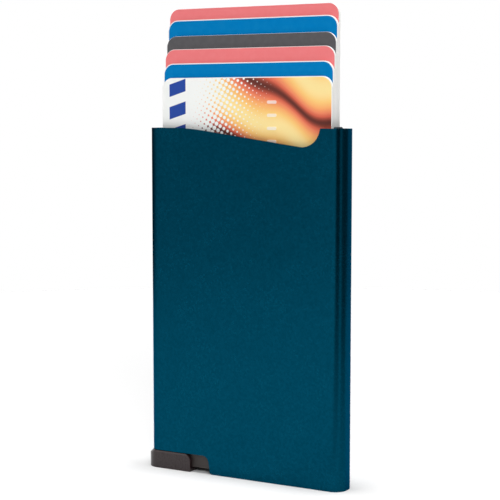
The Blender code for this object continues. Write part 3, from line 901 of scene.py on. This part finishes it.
@dataclass
class Sleeve:
    """The extruded metal sleeve, cut out for a thumb and for the slide."""

    wall: float = 1.0 * MILLIMETRE
    corner_radius: float = 3.4 * MILLIMETRE
    cut_corner_depth: float = 5.95 * MILLIMETRE
    cut_left_margin: float = 13.1 * MILLIMETRE
    cut_right_margin: float = 6.88 * MILLIMETRE
    cut_start_radius: float = 69.0 * MILLIMETRE
    cut_end_radius: float = 5.77 * MILLIMETRE
    notch_top_radius: float = 2.0 * MILLIMETRE
    notch_lean: float = 0.8 * MILLIMETRE
    notch_foot_radius: float = 0.7 * MILLIMETRE
    slide_gap: float = 0.18 * MILLIMETRE
    slide_end_gap: float = 0.95 * MILLIMETRE
    edge_softness: float = 0.13 * MILLIMETRE
    overrun: float = 2.0 * MILLIMETRE

    def shell(self) -> Piece:
        """The sleeve before it is cut out."""
        low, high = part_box("case_sleeve")
        piece = BENCH.plate("metal_sleeve", rectangle(low.xy, high.xy, self.corner_radius),
                            Plane.ALONG_Z, low.z, high.z)
        inset = Vector((self.wall, self.wall))
        bore = BENCH.plate("bore", rectangle(low.xy + inset, high.xy - inset,
                                             self.corner_radius - self.wall),
                           Plane.ALONG_Z, low.z - self.overrun, high.z + self.overrun)
        BENCH.combine(piece, Combine.CUT, bore)
        return piece

    def thumb_cutter(self) -> Piece:
        """The slanted cut-out, which runs into a large round at its right end."""
        low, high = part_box("case_sleeve")
        rim = high.z
        right = high.x - self.cut_right_margin
        slope_start = low.x + self.cut_left_margin
        half_slope = math.atan2(self.cut_corner_depth, right - slope_start) / 2
        start = slope_start - self.cut_start_radius * math.tan(half_slope) - self.overrun
        top = rim + self.overrun
        corners = [Corner(start, rim), Corner(slope_start, rim, self.cut_start_radius),
                   Corner(right, rim - self.cut_corner_depth, self.cut_end_radius),
                   Corner(right, top), Corner(start, top)]
        return BENCH.plate("thumb_cutter", corners, Plane.ALONG_Y, low.y - self.overrun, 0.0)

    def notch_cutter(self) -> Piece:
        """The notch at the lower left, where the slide runs."""
        low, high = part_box("case_sleeve")
        slide_low, slide_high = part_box("finger_slide")
        right = slide_high.x + slide_joint()["range_m"][1] + self.slide_end_gap
        top = slide_high.z + self.slide_gap
        left = slide_low.x - self.overrun
        below = low.z - self.overrun
        foot = self.notch_foot_radius
        corners = [Corner(left, below), Corner(right + foot, below), Corner(right + foot, low.z),
                   Corner(right, low.z, foot),
                   Corner(right - self.notch_lean, top, self.notch_top_radius), Corner(left, top)]
        return BENCH.plate("notch_cutter", corners, Plane.ALONG_Y, low.y - self.overrun,
                           high.y + self.overrun)

    def build(self) -> None:
        """Make the sleeve and seat it."""
        piece = self.shell()
        BENCH.combine(piece, Combine.CUT, self.thumb_cutter())
        BENCH.combine(piece, Combine.CUT, self.notch_cutter())
        BENCH.soften(piece, self.edge_softness)
        seat(piece, AnodisedFinish().material(), Body.CASE.value, "anodised_case", "case_sleeve")


@dataclass
class CardStack:
    """The fan of cards, front to back."""

    edge_softness: float = 0.06 * MILLIMETRE
    rib_height: float = 0.12 * MILLIMETRE
    rib_width: float = 0.9 * MILLIMETRE
    rib_radius: float = 0.405 * MILLIMETRE
    rib_length: float = 3.0 * MILLIMETRE
    rib_pitch: float = 3.6 * MILLIMETRE
    rib_count: int = 20
    rib_column: float = 8.6 * MILLIMETRE
    rib_margin: float = 6.5 * MILLIMETRE
    front: CardFinish = FrontCardFinish("front card", (0.96, 0.965, 0.955))
    blue: CardFinish = CardFinish("blue card", (0.0, 0.470, 0.725))
    salmon: CardFinish = CardFinish("salmon card", (0.930, 0.490, 0.500), border=0.17 * MILLIMETRE,
                                    print_drop=-0.06 * MILLIMETRE)
    grey: CardFinish = CardFinish("grey card", (0.345, 0.340, 0.350), border=0.17 * MILLIMETRE,
                                  print_drop=-0.12 * MILLIMETRE)

    def finishes(self) -> list[tuple[CardFinish, str]]:
        """Finish and material slot of each card, front to back."""
        return [(self.front, "card_white"), (self.blue, "card_blue"), (self.salmon, "card_salmon"),
                (self.grey, "card_grey"), (self.blue, "card_blue"), (self.salmon, "card_salmon")]

    def emboss(self, card: Piece, shape: CardShape) -> None:
        """Raise a column of plain round-ended ribs on the front card.

        Args:
            card: The card's plate.
            shape: Where it lies.
        """
        middle = shape.middle.x + self.rib_column
        top = shape.high - self.rib_margin
        low = (middle - self.rib_length / 2, top - self.rib_width)
        high = (middle + self.rib_length / 2, top)
        ribs = BENCH.plate("ribs", rectangle(low, high, self.rib_radius), Plane.ALONG_Y,
                           shape.front - self.rib_height, shape.front + self.rib_height)
        BENCH.apply(ribs, "ARRAY", count=self.rib_count, use_relative_offset=False,
                    use_constant_offset=True, constant_offset_displace=(0.0, 0.0, -self.rib_pitch))
        BENCH.combine(card, Combine.WELD, ribs)

    def build(self) -> None:
        """Make every card and seat it."""
        for number, (finish, slot) in enumerate(self.finishes(), 1):
            node = f"card_{number}"
            low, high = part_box(node)
            shape = CardShape(low.x, high.x, low.z, high.z, low.y, high.y)
            outline = rectangle((low.x, low.z), (high.x, high.z), shape.corner_radius)
            piece = BENCH.plate(f"printed_card_{number}", outline, Plane.ALONG_Y, low.y, high.y)
            if number == 1:
                self.emboss(piece, shape)
            BENCH.soften(piece, self.edge_softness, 2)
            seat(piece, finish.material(shape), f"{node}_body", slot, node)


@dataclass
class Mechanism:
    """The base, slide, lever, pin and spring inside the foot."""

    edge_softness: float = 0.10 * MILLIMETRE
    slide_softness: float = 0.10 * MILLIMETRE
    slide_sharp_angle: float = 30.0
    slide_ledge: float = 0.05 * MILLIMETRE
    slide_slope: float = 1.25
    pin_softness: float = 0.16 * MILLIMETRE
    wire_radius: float = 0.17 * MILLIMETRE
    wire_sides: int = 10
    wire_sharp_angle: float = math.radians(50)
    turns: int = 11
    steps_in_turn: int = 24
    base_finish: MouldedFinish = MouldedFinish("base plastic", (0.195, 0.175, 0.166), 0.55)
    slide_finish: MouldedFinish = MouldedFinish("slide plastic", (0.145, 0.100, 0.104), 0.28)
    lever_finish: MouldedFinish = MouldedFinish("lever plastic", (0.16, 0.16, 0.17), 0.42)
    pin_finish: SteelFinish = SteelFinish("pin steel")
    spring_finish: SteelFinish = SteelFinish("spring steel", (0.66, 0.66, 0.68), 0.25)

    def slide(self) -> None:
        """The slide, whose top slopes down all round from the sleeve's outline to its own."""
        low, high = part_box("case_sleeve")
        slide_low, slide_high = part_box("finger_slide")
        top = slide_high.z + self.slide_ledge * self.slide_slope
        collar = BENCH.plate("collar", rectangle(low.xy, high.xy, Sleeve.corner_radius), Plane.ALONG_Z,
                             slide_low.z - self.slide_softness, top)
        spread = (top - slide_low.z) / self.slide_slope
        BENCH.pick(collar)
        bpy.ops.object.mode_set(mode="EDIT")
        BENCH.select_vertices(collar, lambda co: co.z < slide_low.z)
        bpy.ops.transform.resize(value=(1 + spread / high.x, 1 + spread / high.y, 1.0),
                                 center_override=(0.0, 0.0, slide_low.z))
        BENCH.clear()
        piece = BENCH.copy_node("finger_slide", "moulded_slide")
        BENCH.combine(piece, Combine.TRIM, collar)
        BENCH.soften(piece, self.slide_softness, 2, self.slide_sharp_angle)
        seat(piece, self.slide_finish.material(), Body.SLIDE.value, "slide_plastic", "finger_slide")

    def spring(self) -> None:
        """The wound spring, seated on the case."""
        low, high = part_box("return_spring")
        middle = (low + high) / 2
        radius = (high.y - low.y) / 2 - self.wire_radius
        start = low.x + self.wire_radius
        whole = high.x - low.x
        steps = self.steps_in_turn * self.turns
        piece = BENCH.circle("wound_spring", self.wire_sides, radius=self.wire_radius)
        for vertex in piece.data.vertices:
            vertex.co = (start + vertex.co.x, radius + vertex.co.y, 0.0)
        BENCH.apply(piece, "SCREW", axis="X", angle=math.tau * self.turns, steps=steps,
                    screw_offset=whole - 2 * self.wire_radius, render_steps=steps,
                    use_normal_calculate=True)
        bpy.ops.object.mode_set(mode="EDIT")
        bpy.ops.mesh.select_all(action="DESELECT")
        bpy.ops.mesh.select_mode(type="EDGE")
        bpy.ops.mesh.select_non_manifold()
        bpy.ops.mesh.edge_face_add()
        BENCH.face_outwards()
        for vertex in piece.data.vertices:
            vertex.co.z += middle.z
        BENCH.pick(piece)
        bpy.ops.object.shade_smooth_by_angle(angle=self.wire_sharp_angle)
        seat(piece, self.spring_finish.material(), Body.CASE.value, "spring_steel", "return_spring")
        travel = slide_joint()
        (whole - travel["range_m"][1]) / whole
        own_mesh(piece)

    def build(self) -> None:
        """Make every piece."""
        soft_copy("base_frame", "moulded_base", Body.CASE, "base_plastic",
                  self.base_finish.material(), self.edge_softness)
        self.slide()
        soft_copy("ejector_lever", "moulded_lever", Body.LEVER, "lever_plastic",
                  self.lever_finish.material(), self.edge_softness)
        soft_copy("pivot_pin", "ground_pin", Body.CASE, "pin_steel",
                  self.pin_finish.material(), self.pin_softness)
        self.spring()


@dataclass
class Grips:
    """What holds the cards by friction: strips on soft foam at the sides, felt on the wide walls."""

    strip_softness: float = 0.12 * MILLIMETRE
    foam_softness: float = 0.32 * MILLIMETRE
    felt_softness: float = 0.20 * MILLIMETRE
    segments: int = 3
    foam_fill: float = 0.9
    felt_fill: float = 1.0
    strip_finish: MouldedFinish = MouldedFinish("strip plastic", (0.10, 0.16, 0.20))
    foam_finish: PileFinish = PileFinish("foam", (0.13, 0.13, 0.14), cell=0.25 * MILLIMETRE, sheen=0.0)
    felt_finish: PileFinish = PileFinish("felt", (0.12, 0.12, 0.13), cell=0.12 * MILLIMETRE, sheen=0.3)

    def build(self) -> None:
        """Make every piece."""
        strip = self.strip_finish.material()
        foam = self.foam_finish.material()
        felt = self.felt_finish.material()
        for side in ("left", "right"):
            soft_copy(f"edge_strip_{side}", f"friction_strip_{side}", Body.CASE, "strip_plastic",
                      strip, self.strip_softness, self.segments)
            cushion = soft_copy(f"edge_foam_{side}", f"foam_backing_{side}", Body.CASE, "foam",
                                foam, self.foam_softness, self.segments)
        for place in ("front", "rear"):
            pad = soft_copy(f"liner_{place}", f"felt_liner_{place}", Body.CASE, "felt",
                            felt, self.felt_softness, self.segments)


@dataclass(frozen=True)
class Surroundings:
    """What shiny metal mirrors, by degrees of azimuth from the front towards +X.

    A Span says where a soft edge starts and where it is complete. The walls and the ceiling
    have theirs by the sine of the height.
    """

    key_start: Span = (-110.0, 0.0)
    key_level: float = 0.95
    gap_start: Span = (11.0, 24.0)
    gap_end: Span = (128.0, 108.0)
    strip_start: Span = (50.0, 58.0)
    strip_end: Span = (79.0, 69.0)
    strip_level: float = 0.6
    strip_on_table: float = 0.76
    fill_start: Span = (70.0, 84.0)
    fill_level: float = 0.11
    backdrop_start: Span = (130.0, 172.0)
    backdrop_end: Span = (-172.0, -179.0)
    behind_start: Span = (-92.0, -122.0)
    behind_low: Span = (-0.01, 0.07)
    behind_high: Span = (0.1, 0.3)
    behind_high_level: float = 0.8
    ceiling: Span = (0.45, 0.8)
    ceiling_level: float = 2.0
    darkest: float = 0.08

    def azimuth(self, x: Signal, y: Signal) -> Signal:
        """Degrees from the front towards +X."""
        return x.math("ARCTAN2", y * -1.0) * math.degrees(1)

    def strip(self, azimuth: Signal) -> Signal:
        """1 in the bright strip between the dark gaps."""
        return azimuth.rise(*self.strip_start) * azimuth.rise(*self.strip_end)

    def gaps(self, x: Signal, y: Signal) -> Signal:
        """1 where the table lies under the dark gaps, and less under the strip."""
        azimuth = self.azimuth(x, y)
        inside = azimuth.rise(*self.gap_start) * azimuth.rise(*self.gap_end)
        return inside * (1.0 - self.strip(azimuth) * self.strip_on_table)

    def light(self, x: Signal, y: Signal, z: Signal) -> Signal:
        """Strength of the light that is mirrored from a direction.

        Args:
            x: The direction's X.
            y: Its Y.
            z: Its Z, which is the sine of its height.

        Returns:
            The strength.
        """
        azimuth = self.azimuth(x, y)
        key = azimuth.rise(*self.key_start) * (1.0 - azimuth.rise(*self.gap_start)) * self.key_level
        strip = self.strip(azimuth) * self.strip_level
        fill = azimuth.rise(*self.fill_start) * self.fill_level
        backdrop = azimuth.rise(*self.backdrop_start) + azimuth.rise(*self.backdrop_end)
        wall = z.rise(*self.behind_low) + z.rise(*self.behind_high) * self.behind_high_level
        behind = azimuth.rise(*self.behind_start) * wall
        overhead = z.rise(*self.ceiling) * self.ceiling_level
        bright = ((key + strip + fill + backdrop).smaller(1.0) + behind).larger(overhead)
        return bright * (1 - self.darkest) + self.darkest


@dataclass(frozen=True)
class Lamp:
    """One soft rectangular lamp that faces the holder: degrees, metres and watts."""

    name: str
    azimuth: float
    height: float
    power: float
    size: tuple[float, float]
    distance: float


@dataclass
class Studio:
    """The pale table, the light and the camera."""

    table_radius: float = 0.44
    table_sides: int = 96
    table_white: float = 0.72
    table_far_white: float = 0.77
    table_far_from: float = 0.4
    table_mirrored: float = 0.80
    table_pale: Rgb = (0.955, 0.955, 0.955)
    table_gap: Rgb = (0.31, 0.31, 0.31)
    table_fade: Span = (-0.10, 0.50)
    around: Surroundings = Surroundings()
    ambient: float = 0.2
    lamps: tuple[Lamp, ...] = (Lamp("top", 29.0, 89.6, 102.0, (0.80, 0.50), 3.0),
                               Lamp("front", 34.0, 33.0, 4.7, (0.40, 0.40), 1.0))
    camera_azimuth: float = 29.117
    camera_height: float = 5.535
    camera_distance: float = 0.39347
    target: Point = (0.00039, 0.0, 0.065055)
    focal_length: float = 100.48
    sensor: float = 36.0
    nearest: float = 0.01

    def table(self) -> None:
        """A round white table: it keeps the holder's soft shadow, and metal sees it darken far off."""
        table = BENCH.circle("table", self.table_sides, radius=self.table_radius, fill_type="NGON")
        made, graph = new_material("white table")
        path = graph.node("LightPath").outputs
        x, y, _ = graph.place()
        reach = (x * x + y * y).math("SQRT")
        far = reach.rise(self.table_radius * self.table_far_from, self.table_radius)
        white = graph.mix(far, grey(self.table_white), grey(self.table_far_white))
        gaps = reach.rise(*self.table_fade) * self.around.gaps(x, y)
        mirrored = graph.mix(gaps, grey(self.table_mirrored), linear(self.table_gap))
        colour = graph.mix(path["Is Glossy Ray"], linear(self.table_pale), mirrored)
        colour = graph.mix(path["Is Transmission Ray"], colour, mirrored)
        colour = graph.mix(path["Is Camera Ray"], colour, white)
        graph.surface({"Color": colour}, "BsdfDiffuse")
        dress(table, made)

    def world(self) -> None:
        """A white background, with the studio's dark gaps and soft boxes for what metal mirrors."""
        world = bpy.data.worlds.new("studio")
        bpy.context.scene.world = world
        world.use_nodes = True
        graph = Graph(world.node_tree)
        x, y, z = graph.place("Generated")
        path = graph.node("LightPath").outputs
        glossy = Signal(graph, path["Is Glossy Ray"])
        plain = Signal(graph, path["Is Camera Ray"]).larger(path["Is Transmission Ray"])
        lit = glossy * self.around.light(x, y, z) + (1.0 - glossy) * self.ambient
        strength = plain + (1.0 - plain) * lit
        graph.surface({"Color": grey(1.0), "Strength": strength}, "Background", "OutputWorld")

    def place(self, name: str, data: bpy.types.ID, azimuth: float, height: float,
              distance: float) -> Piece:
        """Put a lamp or a camera around the holder, facing its middle.

        Args:
            name: Its name.
            data: The lamp or the camera.
            azimuth: Degrees from the front towards +X.
            height: Degrees above the table.
            distance: From the holder's middle.

        Returns:
            The object.
        """
        placed = bpy.data.objects.new(name, data)
        bpy.context.scene.collection.objects.link(placed)
        turn = math.radians(azimuth)
        level = math.cos(math.radians(height))
        back = Vector((math.sin(turn) * level, -math.cos(turn) * level, math.sin(math.radians(height))))
        placed.location = Vector(self.target) + back * distance
        placed.rotation_euler = back.to_track_quat("Z", "Y").to_euler()
        return placed

    def set_lamp(self, lamp: Lamp) -> None:
        """Set up one lamp, which metal doesn't mirror."""
        data = bpy.data.lights.new(lamp.name, "AREA")
        data.energy = lamp.power
        data.shape = "RECTANGLE"
        data.size, data.size_y = lamp.size
        placed = self.place(lamp.name, data, lamp.azimuth, lamp.height, lamp.distance)
        placed.visible_glossy = False

    def camera(self) -> None:
        """The camera at the photograph's place and angle."""
        data = bpy.data.cameras.new("camera")
        data.lens = self.focal_length
        data.sensor_width = self.sensor
        data.clip_start = self.nearest
        bpy.context.scene.camera = self.place("camera", data, self.camera_azimuth,
                                              self.camera_height, self.camera_distance)

    def build(self) -> None:
        """Set the stage."""
        self.table()
        self.world()
        for lamp in self.lamps:
            self.set_lamp(lamp)
        self.camera()
        bpy.context.scene.view_settings.view_transform = "Standard"
        LOG.info("studio set")


def main() -> None:
    """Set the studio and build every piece."""
    logging.basicConfig(level=logging.INFO, format="%(message)s")
    Studio().build()
    Sleeve().build()
    CardStack().build()
    Mechanism().build()
    Grips().build()


if __name__ == "__main__":
    main()
